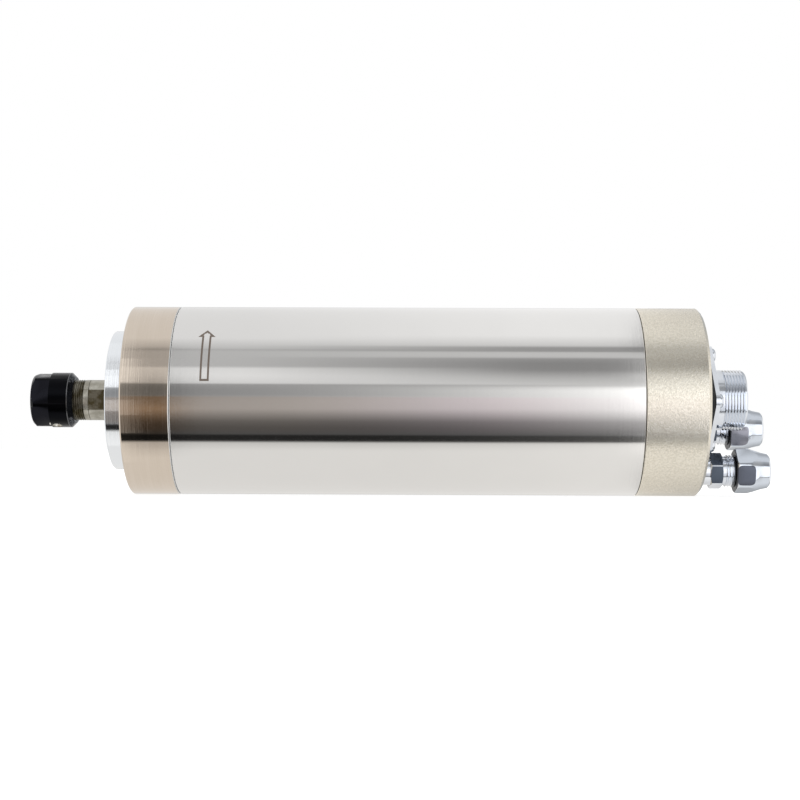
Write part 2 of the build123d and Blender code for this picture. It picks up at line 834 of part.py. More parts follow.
save("collet_nut", make_nut())
save("connector_gasket", connector_plate(rear_face, flange_back, connector_skirt_radius + hole_margin))
save("connector_shell", make_connector_shell())
save("connector_insulator", make_insulator())
save("connector_pins", *make_pins())
save("lead_wires", *make_lead_wires())
save("connector_screws", *make_connector_screws())
water_fittings = (
    ("inlet", inlet_y, inlet_z, inlet_nut_turn),
    ("outlet", outlet_y, outlet_z, outlet_nut_turn),
)
for name, y, z, turn in water_fittings:
    save(f"{name}_fitting", make_fitting(y, z))
    save(f"{name}_hose_nut", make_hose_nut(y, z, turn))
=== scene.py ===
import json
from math import cos, degrees, radians, sin, tau

import bmesh
import bpy
from mathutils import Matrix, Vector


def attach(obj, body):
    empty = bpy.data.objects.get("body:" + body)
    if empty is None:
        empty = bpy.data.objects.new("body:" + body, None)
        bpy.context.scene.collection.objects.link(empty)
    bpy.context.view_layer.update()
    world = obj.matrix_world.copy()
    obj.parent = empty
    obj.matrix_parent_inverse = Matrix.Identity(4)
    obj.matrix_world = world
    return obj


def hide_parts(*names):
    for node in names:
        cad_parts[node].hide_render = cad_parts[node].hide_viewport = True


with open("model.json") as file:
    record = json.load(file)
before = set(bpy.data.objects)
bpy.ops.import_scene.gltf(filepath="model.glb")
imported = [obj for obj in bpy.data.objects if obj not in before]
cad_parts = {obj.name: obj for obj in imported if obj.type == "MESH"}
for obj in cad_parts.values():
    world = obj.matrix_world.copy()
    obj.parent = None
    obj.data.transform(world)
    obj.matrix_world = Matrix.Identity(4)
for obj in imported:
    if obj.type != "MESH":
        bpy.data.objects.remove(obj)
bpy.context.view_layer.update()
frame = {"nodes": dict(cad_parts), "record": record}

MM = 0.001

# Stations along the spindle and the sizes of its parts, in millimetres.
FRONT_FACE, REAR_FACE, COVER_FACE = -95.0, 100.0, -101.4
BARREL_FRONT, BARREL_REAR = -78.5, 78.5
BARREL_RADIUS, BARREL_WALL = 32.5, 2.0
# The seams' chamfer, and how wide the painted shade is at the bottom of the front and rear seams.
SEAM_CHAMFER, FRONT_SEAM_SHADE, REAR_SEAM_SHADE = 0.35, 0.08, 0.12
CAP_SCREW_CIRCLE, FRONT_SCREW_ANGLE, REAR_SCREW_ANGLE = 28.0, 45.0, 22.0
CAP_HEAD_RADIUS, CAP_HEAD_HEIGHT, CAP_HEAD_SOCKET, CAP_HEAD_SUNK = 3.5, 4.0, 3.0, 0.2
COVER_SCREW_CIRCLE, COVER_HEAD_RADIUS, COVER_HEAD_HEIGHT, COVER_HEAD_SOCKET = 20.0, 2.9, 1.6, 1.6
SHEET_THICKNESS = 0.5

# The shaft, and the collet nut on its nose.
NOSE_RADIUS, NOSE_END, NOSE_PITCH, NOSE_ROOT = 7.0, -124.4, 0.75, 6.6
THREAD_END, RUN_IN_RADIUS, RUN_IN_LENGTH = -112.1, 6.8, 0.2
TAPER_MOUTH, TAPER_BACK, TAPER_WIDE, TAPER_NARROW = -125.4, -110.9, 5.70, 3.67
FLATS_FRONT, FLATS_REAR, FLATS_ACROSS = -110.3, -100.2, 12.2
BEARINGS_FRONT, BEARINGS_REAR, SHOULDER_REAR = -98.1, -74.0, -68.0
JOURNAL_RADIUS, SHOULDER_RADIUS, CORE_RADIUS, TAIL_RADIUS = 7.5, 9.5, 9.0, 6.0
CORE_REAR, SHAFT_END, TAIL_CHAMFER = 67.0, 81.2, 0.5
NUT_REAR, NUT_RADIUS, NUT_CHAMFER = -115.5, 9.5, 1.5
GRIP_ACROSS, GRIP_TURN = 17.0, 12.3
DIMPLE_FRONT, DIMPLE_REAR, DIMPLE_FLOOR = -124.0, -119.0, 8.0

# The power socket, its middle beside the shaft's axis.
CONNECTOR = (-8.0, 0.5)
CONNECTOR_TURN, CONNECTOR_END, CONNECTOR_RADIUS, CONNECTOR_BORE = 47.5, 114.6, 10.3, 8.6
SKIRT_FRONT, SKIRT_RADIUS = 94.3, 9.0
FLANGE_BACK, FLANGE_FRONT, FLANGE_SIDE, FLANGE_CORNER = 102.3, 103.7, 28.0, 4.5
THREADED_FROM, THREADED_TO = 106.9, 113.8
THREADED_ROOT, THREADED_PITCH, RIM_RADIUS = 9.72, 1.0, 9.95
PAN_CIRCLE, PAN_RADIUS, PAN_HEIGHT, PAN_SHANK = 15.3, 2.5, 1.5, 1.4

# The water fittings and their hose nuts, with a dark square painted on one flat of each nut as a
# reflection.
INLET, OUTLET = (-3.0, -23.7), (8.9, -9.2)
HEX_BACK, HEX_FRONT, HEX_ACROSS, HEX_TURN = 103.8, 108.0, 11.2, 43.0
HOSE_THREAD_FRONT, HOSE_THREAD_END, SPOUT_END = 109.3, 116.0, 119.0
HOSE_CREST, HOSE_ROOT, HOSE_PITCH = 5.5, 5.02, 1.0
WATER_BORE, SPOUT_RADIUS, PORT_START, PORT_RADIUS = 1.9, 2.9, 92.0, 4.9
NUT_BACK, NUT_ACROSS, INLET_NUT_TURN, OUTLET_NUT_TURN = 112.5, 14.0, 42.0, 51.0
WINDOW_MIDDLE, WINDOW_HALF_LENGTH, WINDOW_HALF_WIDTH = 115.75, 3.05, 3.5

# The rotation arrow: its sizes along X in millimetres, its places in degrees up from the horizon.
ARROW_MIDDLE, ARROW_HALF_WIDTH, ARROW_STEM_HALF_WIDTH = -66.9, 2.9, 1.55
ARROW_TIP, ARROW_NECK, ARROW_TAIL, ARROW_LINE = 44.9, 39.3, 10.0, 1.3
ARROW_SLOPE = ARROW_HALF_WIDTH / (ARROW_TIP - ARROW_NECK)


class Signal:
    """A number or colour inside a material, so that its sums are written as plain arithmetic."""

    def __init__(self, finish, socket):
        self.finish = finish
        self.socket = socket

    def maths(self, operation, first, second):
        return self.finish.node("Math", {"operation": operation}, {0: first, 1: second})

    def __add__(self, other):
        return self.maths("ADD", self, other)

    def __radd__(self, other):
        return self.maths("ADD", other, self)

    def __sub__(self, other):
        return self.maths("SUBTRACT", self, other)

    def __rsub__(self, other):
        return self.maths("SUBTRACT", other, self)

    def __mul__(self, other):
        return self.maths("MULTIPLY", self, other)

    def __rmul__(self, other):
        return self.maths("MULTIPLY", other, self)

    def __truediv__(self, other):
        return self.maths("DIVIDE", self, other)

    def __rtruediv__(self, other):
        return self.maths("DIVIDE", other, self)

    def __pow__(self, other):
        return self.maths("POWER", self, other)

    def __gt__(self, other):
        return self.maths("GREATER_THAN", self, other)

    def __lt__(self, other):
        return self.maths("LESS_THAN", self, other)

    def __abs__(self):
        return self.maths("ABSOLUTE", self, 0.0)

    def over(self, other):
        return self.maths("MAXIMUM", self, other)

    def under(self, other):
        return self.maths("MINIMUM", self, other)


class Finish:
    """A node tree, for a material or for the studio round it."""

    def __init__(self, owner):
        owner.use_nodes = True
        self.owner = owner
        self.tree = owner.node_tree
        self.tree.nodes.clear()

    def node(self, kind, settings=None, sockets=None, output=0):
        made = self.tree.nodes.new("ShaderNode" + kind)
        for name, value in (settings or {}).items():
            if name == "stops":
                ramp = made.color_ramp
                while len(ramp.elements) < len(value):
                    ramp.elements.new(1.0)
                for stop, (place, colour) in zip(ramp.elements, value):
                    stop.position = place
                    stop.color = colour
            else:
                setattr(made, name, value)
        for name, value in (sockets or {}).items():
            if isinstance(value, Signal):
                self.tree.links.new(value.socket, made.inputs[name])
            else:
                made.inputs[name].default_value = value
        return Signal(self, made.outputs[output])

    def place(self, scale=(1.0, 1.0, 1.0)):
        """Where a point is on the object, in metres times a scale."""
        where = self.node("TexCoord", output="Object")
        return self.node("Mapping", {}, {"Vector": where, "Scale": scale})

    def axes(self):
        """The three distances of a point from the spindle's middle, in millimetres."""
        split = self.place((1.0 / MM, 1.0 / MM, 1.0 / MM))
        return [self.node("SeparateXYZ", {}, {0: split}, axis) for axis in ("X", "Y", "Z")]

    def noise(self, scale, detail=2.0, roughness=0.5, stretch=(1.0, 1.0, 1.0)):
        where = self.place(stretch)
        sockets = {"Vector": where, "Scale": scale, "Detail": detail, "Roughness": roughness}
        return self.node("TexNoise", {}, sockets)

    def ramp(self, value, *stops):
        listed = [(place, (shade, shade, shade, 1.0)) for place, shade in stops]
        return self.node("ValToRGB", {"stops": listed}, {0: value})

    def mix(self, share, first, second, way="MIX"):
        """One colour turning into another, or blended with it in another way."""
        settings = {"data_type": "RGBA", "blend_type": way}
        return self.node("Mix", settings, {0: share, 6: first, 7: second}, 2)

    def bump(self, height, distance):
        return self.node("Bump", {}, {"Height": height, "Distance": distance, "Strength": 1.0})

    def surface(self, **values):
        sockets = {name.replace("_", " ").title(): value for name, value in values.items()}
        shader = self.node("BsdfPrincipled", {}, sockets)
        self.node_output("OutputMaterial", shader)
        return self.owner

    def node_output(self, kind, shader):
        end = self.tree.nodes.new("ShaderNode" + kind)
        self.tree.links.new(shader.socket, end.inputs["Surface"])


def rgb(red, green, blue):
    return (red, green, blue, 1.0)


def around(angle, radius):
    """The y and z of a point at an angle and a radius from the axis."""
    return radius * cos(radians(angle)), radius * sin(radians(angle))


def new_finish(name):
    return Finish(bpy.data.materials.new(name))


CHROME = rgb(0.87, 0.89, 0.925), rgb(0.79, 0.81, 0.85)
# Painted shade for the bottom of the seams between the barrel and the caps.
SEAM_SHADE = rgb(0.03, 0.03, 0.03)
# Painted shade for the groove between a fitting's thread and its hose nut.
GROOVE_SHADE = rgb(0.02, 0.022, 0.028)


def chamfer_highlight_at(x, seam):
    """One on the freshly cut chamfer beside a seam, made near white as a painted highlight, and nought
    elsewhere.
    """
    return abs(x - seam) < SEAM_CHAMFER - 0.01


def seam_shade_at(x, seam, width):
    """One in the painted shade at the bottom of a seam, and nought elsewhere."""
    return abs(x - seam) < width


def turning_lines(finish, fine=5000.0, coarse=900.0):
    """Tool lines that run round the axis: fast along X, slow round it."""
    small = finish.noise(fine, 3.0, 0.6, (1.0, 0.012, 0.012))
    large = finish.noise(coarse, 2.0, 0.5, (1.0, 0.02, 0.02))
    return small * 0.6 + large * 0.4


def polished_stainless():
    finish = new_finish("polished_stainless")
    lines = turning_lines(finish)
    smears = finish.noise(60.0, 3.0, 0.55)
    x, y, z = finish.axes()
    angle = finish.node("Math", {"operation": "ARCTAN2"}, {0: z, 1: y * -1.0}) * degrees(1.0)
    aside = abs(x - ARROW_MIDDLE)

    def arrow(inset):
        """The arrow's whole shape, drawn in from its outline by so many degrees."""
        head = aside < (ARROW_TIP - inset * 1.6 - angle) * ARROW_SLOPE
        head = head * (angle > ARROW_NECK + inset * 0.9)
        stem = (aside < ARROW_STEM_HALF_WIDTH - inset * 0.5) * (angle > ARROW_TAIL + inset)
        stem = stem * (angle < ARROW_NECK + 2.0 * inset)
        return (head + stem).under(1.0)

    mark = (arrow(0.0) - arrow(ARROW_LINE)) * (y < 0.0)
    # The seam chamfers: freshly cut metal, its near-white colour a painted highlight along each seam.
    edge = chamfer_highlight_at(x, BARREL_FRONT) + chamfer_highlight_at(x, BARREL_REAR)
    # Painted shade at the bottom of both seams, where the gap between barrel and cap lies in shade.
    painted_shade = seam_shade_at(x, BARREL_FRONT, FRONT_SEAM_SHADE) + seam_shade_at(x, BARREL_REAR, REAR_SEAM_SHADE)
    steel = finish.mix(smears * 0.5, rgb(0.80, 0.79, 0.775), rgb(0.74, 0.73, 0.72))
    colour = finish.mix(mark * 0.85, steel, rgb(0.13, 0.085, 0.055))
    colour = finish.mix(edge, colour, rgb(0.95, 0.95, 0.94))
    return finish.surface(
        base_color=finish.mix(painted_shade, colour, SEAM_SHADE),
        metallic=1.0,
        roughness=0.045 + lines * 0.04 + smears * 0.02 + mark * 0.3 + edge * 0.33,
        normal=finish.bump(lines, 0.0000035),
    )


def bronze_cap():
    finish = new_finish("bronze_cap")
    lines = turning_lines(finish, 3600.0, 700.0)
    cloud = finish.noise(45.0, 3.0, 0.6)
    streak = finish.ramp(lines, (0.36, 0.0), (0.62, 1.0))
    x = finish.axes()[0]
    # The front seam's chamfer: freshly cut metal, its near-white colour a painted highlight along the
    # seam.
    edge = chamfer_highlight_at(x, BARREL_FRONT)
    colour = finish.mix(cloud * 0.4 + streak * 0.25, rgb(0.735, 0.65, 0.56), rgb(0.615, 0.525, 0.435))
    colour = finish.mix(edge, colour, rgb(0.95, 0.94, 0.92))
    # Painted shade at the bottom of the front seam darkens the cap's edge.
    return finish.surface(
        base_color=finish.mix(seam_shade_at(x, BARREL_FRONT, FRONT_SEAM_SHADE), colour, SEAM_SHADE),
        metallic=1.0,
        roughness=0.035 + lines * 0.05 + edge * 0.38,
        normal=finish.bump(lines, 0.000004),
    )


def blasted_champagne():
    finish = new_finish("blasted_champagne")
    grain = finish.noise(2600.0, 3.0, 0.65)
    crystals = finish.noise(1500.0, 3.0, 0.7)
    cloud = finish.noise(70.0, 3.0, 0.6)
    speck = finish.ramp(crystals, (0.42, 0.0), (0.6, 1.0))
    # Painted shade at the bottom of the rear seam.
    painted_shade = seam_shade_at(finish.axes()[0], BARREL_REAR, REAR_SEAM_SHADE)
    colour = finish.mix(cloud * 0.2 + speck * 0.75, rgb(0.90, 0.84, 0.725), rgb(0.785, 0.72, 0.60))
    return finish.surface(
        base_color=finish.mix(painted_shade, colour, SEAM_SHADE),
        metallic=1.0,
        roughness=0.19 + speck * 0.06,
        normal=finish.bump(grain, 0.000038),
    )


def bright_turned():
    finish = new_finish("bright_turned")
    x, y, z = finish.axes()
    radius = (y * y + z * z) ** 0.5
    sockets = {"W": radius * 4.0 + x * 5.0, "Scale": 1.0, "Detail": 3.0}
    rings = finish.node("TexNoise", {"noise_dimensions": "1D"}, sockets)
    return finish.surface(
        base_color=finish.mix(rings, rgb(0.90, 0.925, 0.955), rgb(0.83, 0.855, 0.885)),
        metallic=1.0,
        roughness=0.055 + rings * 0.06,
        normal=finish.bump(rings, 0.000006),
    )


def shaft_steel():
    finish = new_finish("shaft_steel")
    stain = finish.noise(240.0, 4.0, 0.6)
    fleck = finish.noise(1500.0, 3.0, 0.65)
    oily = finish.ramp(stain, (0.38, 0.0), (0.60, 1.0))
    x, y = finish.axes()[:2]
    flat = (abs(y) > FLATS_ACROSS / 2 - 0.03) * (abs(y) < FLATS_ACROSS / 2 + 0.03)
    threaded = x < THREAD_END + 0.05
    brown = finish.mix(fleck, rgb(0.050, 0.042, 0.020), rgb(0.125, 0.102, 0.055))
    clean = finish.mix(fleck, rgb(0.40, 0.385, 0.33), rgb(0.62, 0.60, 0.54))
    share = (oily * 0.45 + threaded * 0.55 + flat * 0.75).under(1.0)
    return finish.surface(
        base_color=finish.mix(share, clean, brown),
        metallic=0.95,
        roughness=0.26 + fleck * 0.2,
        normal=finish.bump(fleck, 0.00003),
    )


def black_oxide():
    finish = new_finish("black_oxide")
    lines = finish.noise(3000.0, 2.0, 0.5, (1.0, 0.02, 0.02))
    wear = finish.noise(2200.0, 4.0, 0.7)
    x, y, z = finish.axes()
    radius = (y * y + z * z) ** 0.5
    corner = NUT_REAR - NUT_CHAMFER
    chamfer = (x > corner - 0.05) * (radius < NUT_RADIUS - 0.08) * (radius > NOSE_RADIUS + 0.2)
    # A thin painted highlight line round the nut, where its rear chamfer meets the outside.
    rim = (x > corner - 0.3) * (x < corner + 0.02) * (radius > NUT_RADIUS - 0.25)
    pit = (x > DIMPLE_FRONT) * (x < DIMPLE_REAR) * (z < -DIMPLE_FLOOR) * (y < 0.0)
    pit = pit * (radius > DIMPLE_FLOOR) * (radius < NUT_RADIUS - 0.12)
    # Pale speckle on the nut's rear chamfer, much stronger above and below the middle (|z| > 6 mm).
    chamfer_speckle = finish.ramp(wear, (0.46, 0.0), (0.56, 1.0)) * chamfer * (0.02 + (abs(z) > 6.0) * 0.38)
    sides = [GRIP_TURN + 30.0 + 60.0 * i for i in range(6)]
    flat = flats_mask(finish, (0.0, 0.0), GRIP_ACROSS, sides)
    turned_black = finish.mix(wear, rgb(0.0035, 0.0038, 0.0048), rgb(0.007, 0.0073, 0.009))
    coated = finish.mix(flat, turned_black, rgb(0.014, 0.0142, 0.0185))
    drilled = finish.mix(pit, coated, rgb(0.80, 0.78, 0.72))
    return finish.surface(
        base_color=finish.mix((chamfer_speckle + rim * 0.32).under(1.0), drilled, rgb(0.40, 0.405, 0.42)),
        metallic=1.0,
        roughness=0.17 + wear * 0.10 + lines * 0.05,
        normal=finish.bump(lines, 0.000008),
    )


def plated(name, light, dark, rough):
    """Bright plating, with faint clouds and a slightly uneven face."""
    finish = new_finish(name)
    cloud = finish.noise(260.0, 3.0, 0.55)
    return finish.surface(
        base_color=finish.mix(cloud, light, dark),
        metallic=1.0,
        roughness=rough + cloud * rough * 0.8,
        normal=finish.bump(cloud, 0.00001),
    )


def beside_axis(finish, centre, angle):
    """A point's place along X, its height towards an angle from a centre line, and its offset."""
    x, y, z = finish.axes()
    y = y - centre[0]
    z = z - centre[1]
    out, up = around(angle, 1.0)
    return x, y * out + z * up, z * out - y * up


def flats_mask(finish, centre, across, angles):
    """One on the flats of a bar whose faces look the given ways, and nought elsewhere."""
    found = 0.0
    for angle in angles:
        height = beside_axis(finish, centre, angle)[1]
        face = (height > across / 2 - 0.02) * (height < across / 2 + 0.02)
        found = face.over(found)
    return found


def painted_window_mask(finish, centre, angle):
    """The square with round corners painted dark in the middle of a hose nut's flat, as a painted
    reflection.
    """
    x, height, sideways = beside_axis(finish, centre, angle)
    along = abs(x - WINDOW_MIDDLE) / WINDOW_HALF_LENGTH
    aside = abs(sideways) / WINDOW_HALF_WIDTH
    return (along**5.0 + aside**5.0 < 1.0) * (height > NUT_ACROSS / 2 - 1.0)


def plated_with_painted_reflections(name, reflection_mask, shade, groove_start, groove_end):
    """Bright plating with a dark reflection painted on some flats, and painted shade in the groove
    beside the nut.
    """
    finish = new_finish(name)
    cloud = finish.noise(260.0, 3.0, 0.55)
    x = finish.axes()[0]
    # Painted shade in the groove between the fitting's thread and the nut's rear face.
    painted_shade = (x > groove_start) * (x < groove_end) * 0.9
    flat = reflection_mask(finish)
    # The dark colour on the masked flats is a painted reflection; they are also rougher.
    plate = finish.mix(flat, finish.mix(cloud, *CHROME), shade)
    return finish.surface(
        base_color=finish.mix(painted_shade, plate, GROOVE_SHADE),
        metallic=1.0,
        roughness=0.06 + cloud * 0.048 + flat * 0.22 + painted_shade * 0.25,
        normal=finish.bump(cloud, 0.00001),
    )


def fitting_plate(name, centre):
    # Two of the hex's flats are painted dark, a painted reflection of the dark parts round them.
    def two_painted_flats(finish):
        return flats_mask(finish, centre, HEX_ACROSS, (HEX_TURN + 90.0, HEX_TURN + 150.0))

    shade = rgb(0.115, 0.135, 0.165)
    return plated_with_painted_reflections(name, two_painted_flats, shade, NUT_BACK - 0.75, NUT_BACK + 1.0)


def nut_plate(name, centre, turn, shade):
    # One flat of each nut carries a dark square, a painted reflection.
    def one_painted_window(finish):
        return painted_window_mask(finish, centre, turn + 150.0)

    return plated_with_painted_reflections(name, one_painted_window, shade, NUT_BACK - 1.0, NUT_BACK + 0.32)


def machined(name, light, dark, rough):
    """Plain turned or ground metal."""
    finish = new_finish(name)
    lines = turning_lines(finish, 4200.0, 800.0)
    return finish.surface(
        base_color=finish.mix(lines, light, dark),
        metallic=1.0,
        roughness=rough + lines * 0.12,
        normal=finish.bump(lines, 0.000008),
    )


def moulded(name, light, dark, rough):
    """Rubber or plastic with a fine moulded grain."""
    finish = new_finish(name)
    grit = finish.noise(1800.0, 3.0, 0.6)
    return finish.surface(
        base_color=finish.mix(grit, light, dark),
        metallic=0.0,
        roughness=rough + grit * 0.15,
        normal=finish.bump(grit, 0.00002),
    )


def laminated():
    """Thin sheets stacked along X, as in a stator or a rotor."""
    finish = new_finish("core_steel")
    x = finish.axes()[0]
    sheets = finish.node("Math", {"operation": "SINE"}, {0: x * (tau / SHEET_THICKNESS)})
    grit = finish.noise(1200.0)
    return finish.surface(
        base_color=finish.mix(sheets * 0.3 + grit * 0.5, rgb(0.34, 0.34, 0.35), rgb(0.20, 0.19, 0.18)),
        metallic=0.8,
        roughness=0.4 + grit * 0.1,
        normal=finish.bump(sheets, 0.00004),
    )


# The colours of the painted reflections in the hose nuts' squares.
INLET_NUT_SHADE, OUTLET_NUT_SHADE = rgb(0.125, 0.133, 0.158), rgb(0.37, 0.36, 0.39)
RUBBER = rgb(0.022, 0.022, 0.022), rgb(0.012, 0.012, 0.012)
BLACK_PLASTIC = rgb(0.035, 0.035, 0.036), rgb(0.022, 0.022, 0.022)
ALUMINIUM = rgb(0.74, 0.75, 0.76), rgb(0.64, 0.65, 0.66)
FINISHES = {
    "polished_stainless": polished_stainless(),
    "bronze_cap": bronze_cap(),
    "blasted_champagne": blasted_champagne(),
    "bright_turned": bright_turned(),
    "shaft_steel": shaft_steel(),
    "black_oxide": black_oxide(),
    "inlet_plate": fitting_plate("inlet_plate", INLET),
    "outlet_plate": fitting_plate("outlet_plate", OUTLET),
    "inlet_nut_plate": nut_plate("inlet_nut_plate", INLET, INLET_NUT_TURN, INLET_NUT_SHADE),
    "outlet_nut_plate": nut_plate("outlet_nut_plate", OUTLET, OUTLET_NUT_TURN, OUTLET_NUT_SHADE),
    "chrome_plate": plated("chrome_plate", *CHROME, 0.06),
    "spring_steel": machined("spring_steel", rgb(0.66, 0.66, 0.66), rgb(0.52, 0.52, 0.52), 0.22),
    "bearing_steel": plated("bearing_steel", rgb(0.76, 0.76, 0.77), rgb(0.68, 0.68, 0.69), 0.08),
    "zinc_screws": machined("zinc_screws", rgb(0.62, 0.62, 0.63), rgb(0.46, 0.46, 0.47), 0.26),
    "contact_brass": plated("contact_brass", rgb(0.86, 0.67, 0.34), rgb(0.74, 0.56, 0.26), 0.14),
    "cage_aluminium": machined("cage_aluminium", rgb(0.78, 0.79, 0.80), rgb(0.68, 0.69, 0.70), 0.3),
    "jacket_aluminium": machined("jacket_aluminium", *ALUMINIUM, 0.28),
    "coil_copper": machined("coil_copper", rgb(0.70, 0.33, 0.16), rgb(0.55, 0.24, 0.10), 0.3),
    "core_steel": laminated(),
    "gasket_rubber": moulded("gasket_rubber", *RUBBER, 0.55),
    "insulator_black": moulded("insulator_black", *BLACK_PLASTIC, 0.38),
    "cage_phenolic": moulded("cage_phenolic", rgb(0.60, 0.44, 0.25), rgb(0.46, 0.32, 0.16), 0.5),
}


def about_axis(mesh, steps, step_along=0.0):
    """Turns a line of edges round the X axis, moving it along at each step for a thread."""
    bmesh.ops.spin(
        mesh,
        geom=mesh.verts[:] + mesh.edges[:],
        cent=(0.0, 0.0, 0.0),
        axis=(1.0, 0.0, 0.0),
        dvec=(step_along, 0.0, 0.0),
        angle=tau,
        steps=steps,
        use_merge=step_along == 0.0,
        use_normal_flip=False,
        use_duplicate=False,
    )
    bmesh.ops.remove_doubles(mesh, verts=mesh.verts, dist=0.002 * MM)


def turned(profile, steps=96, closed=True):
    """A body turned round the X axis from the corners (x, radius) of its half section."""
    mesh = bmesh.new()
    corners = [mesh.verts.new((x * MM, 0.0, radius * MM)) for x, radius in profile]
    for first, second in zip(corners, corners[1:]):
        mesh.edges.new((first, second))
    if closed:
        mesh.edges.new((corners[-1], corners[0]))
    about_axis(mesh, steps)
    bmesh.ops.recalc_face_normals(mesh, faces=mesh.faces)
    return mesh


def prism(start, end, sides, radius, turn, ease, steps):
    """A bar along X with so many sides, its radius taken to its long edges, which are eased."""
    mesh = bmesh.new()
    bmesh.ops.create_circle(mesh, cap_ends=True, segments=sides, radius=radius * MM)
    if ease:
        bmesh.ops.bevel(
            mesh,
            geom=mesh.verts[:],
            offset=ease * MM,
            offset_type="OFFSET",
            segments=steps,
            profile=0.5,
            affect="VERTICES",
            material=-1,
        )
    upright = Matrix.Rotation(radians(90), 4, "Y")
    turned_by = Matrix.Rotation(radians(turn), 4, "X")
    place = Matrix.Translation((start * MM, 0, 0)) @ turned_by @ upright
    bmesh.ops.transform(mesh, matrix=place, verts=mesh.verts)
    grown = bmesh.ops.extrude_face_region(mesh, geom=mesh.faces[:])
    risen = [v for v in grown["geom"] if isinstance(v, bmesh.types.BMVert)]
    bmesh.ops.translate(mesh, vec=((end - start) * MM, 0, 0), verts=risen)
    bmesh.ops.recalc_face_normals(mesh, faces=mesh.faces)
    return mesh


def hex_bar(start, end, across, turn, ease=0.0):
    """A six-sided bar along X, by its size across flats."""
    return prism(start, end, 6, across / 3**0.5, turn, ease, 2)


def thread(start, end, crest, root, pitch, steps=72):
    """A screw thread round the X axis with flat closed ends."""
    mesh = bmesh.new()
    count = int((end - start) / pitch) + 4
    corners = []
    for i in range(count):
        x = start + (i - 2) * pitch
        for share, radius in ((0.0, root), (0.10, root), (0.44, crest), (0.60, crest)):
            corners.append(mesh.verts.new(((x + share * pitch) * MM, 0.0, radius * MM)))
    for first, second in zip(corners, corners[1:]):
        mesh.edges.new((first, second))
    about_axis(mesh, steps, step_along=pitch * MM / steps)
    for x, way in ((start, -1.0), (end, 1.0)):
        bmesh.ops.bisect_plane(
            mesh,
            geom=mesh.verts[:] + mesh.edges[:] + mesh.faces[:],
            dist=0.0005 * MM,
            plane_co=(x * MM, 0.0, 0.0),
            plane_no=(way, 0.0, 0.0),
            clear_outer=True,
        )
        rim = [e for e in mesh.edges if e.is_boundary and abs(e.verts[0].co.x - x * MM) < 0.01 * MM]
        bmesh.ops.contextual_create(mesh, geom=rim)
    bmesh.ops.recalc_face_normals(mesh, faces=mesh.faces)
    return mesh


def shifted(mesh, y, z):
    """The same body moved beside the axis."""
    bmesh.ops.translate(mesh, vec=(0.0, y * MM, z * MM), verts=mesh.verts)
    return mesh


def copy_of(node):
    """A CAD node's mesh, with its loose triangles merged into whole faces."""
    mesh = bmesh.new()
    mesh.from_mesh(frame["nodes"][node].data)
    bmesh.ops.remove_doubles(mesh, verts=mesh.verts, dist=0.001 * MM)
    bmesh.ops.dissolve_limit(
        mesh, angle_limit=radians(0.4), verts=mesh.verts, edges=mesh.edges, use_dissolve_boundaries=False
    )
    return mesh


def joined(*meshes):
    """Several closed shapes in one mesh."""
    whole = bmesh.new()
    for mesh in meshes:
        part = bpy.data.meshes.new("part")
        mesh.to_mesh(part)
        whole.from_mesh(part)
        bpy.data.meshes.remove(part)
        mesh.free()
    return whole


def combine(body, tool, operation="DIFFERENCE"):
    """Cuts one closed shape with another, or keeps what they share."""
    objects = []
    for mesh in (body, tool):
        data = bpy.data.meshes.new("shape")
        mesh.to_mesh(data)
        mesh.free()
        thing = bpy.data.objects.new("shape", data)
        bpy.context.scene.collection.objects.link(thing)
        objects.append(thing)
    modifier = objects[0].modifiers.new("cut", "BOOLEAN")
    modifier.operation = operation
    modifier.solver = "EXACT"
    modifier.object = objects[1]
    bpy.context.view_layer.update()
    graph = bpy.context.evaluated_depsgraph_get()
    result = bmesh.new()
    result.from_object(objects[0], graph)
    for thing in objects:
        data = thing.data
        bpy.data.objects.remove(thing)
        bpy.data.meshes.remove(data)
    return result


SHARP_ANGLE, EASED_ANGLE = 28.0, 38.0


def piece(name, mesh, finish, body, *nodes, edge=0.0, slot=None):
    """Makes a finished piece of a mesh: smooth where it curves, with its edges eased."""
    for face in mesh.faces:
        face.smooth = True
    for side in mesh.edges:
        if len(side.link_faces) == 2 and side.calc_face_angle(0.0) > radians(SHARP_ANGLE):
            side.smooth = False
    data = bpy.data.meshes.new(name)
    mesh.to_mesh(data)
    mesh.free()
    data.materials.append(FINISHES[finish])
    made = bpy.data.objects.new(name, data)
    bpy.context.scene.collection.objects.link(made)
    if edge:
        easing = made.modifiers.new("eased_edges", "BEVEL")
        easing.width = edge * MM
        easing.segments = 2
        easing.limit_method = "ANGLE"
        easing.angle_limit = radians(EASED_ANGLE)
        easing.harden_normals = True
    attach(made, body)
    if nodes:
        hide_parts(*nodes)
    return made


# Barrel and caps
piece(
    "barrel_shell",
    turned(
        [
            (BARREL_FRONT, BARREL_RADIUS - BARREL_WALL),
            (BARREL_REAR, BARREL_RADIUS - BARREL_WALL),
            (BARREL_REAR, BARREL_RADIUS - SEAM_CHAMFER),
            (BARREL_REAR - SEAM_CHAMFER, BARREL_RADIUS),
            (BARREL_FRONT + SEAM_CHAMFER, BARREL_RADIUS),
            (BARREL_FRONT, BARREL_RADIUS - SEAM_CHAMFER),
        ],
        steps=256,
    ),
    "polished_stainless",
    "housing",
    "barrel_tube",
)
piece("front_cap_body", copy_of("front_cap"), "bronze_cap", "housing", "front_cap", edge=0.08)
piece("rear_cap_body", copy_of("rear_cap"), "blasted_champagne", "housing", "rear_cap", edge=0.12)
piece("nose_cover_ring", copy_of("nose_cover"), "bright_turned", "housing", "nose_cover", edge=0.08)


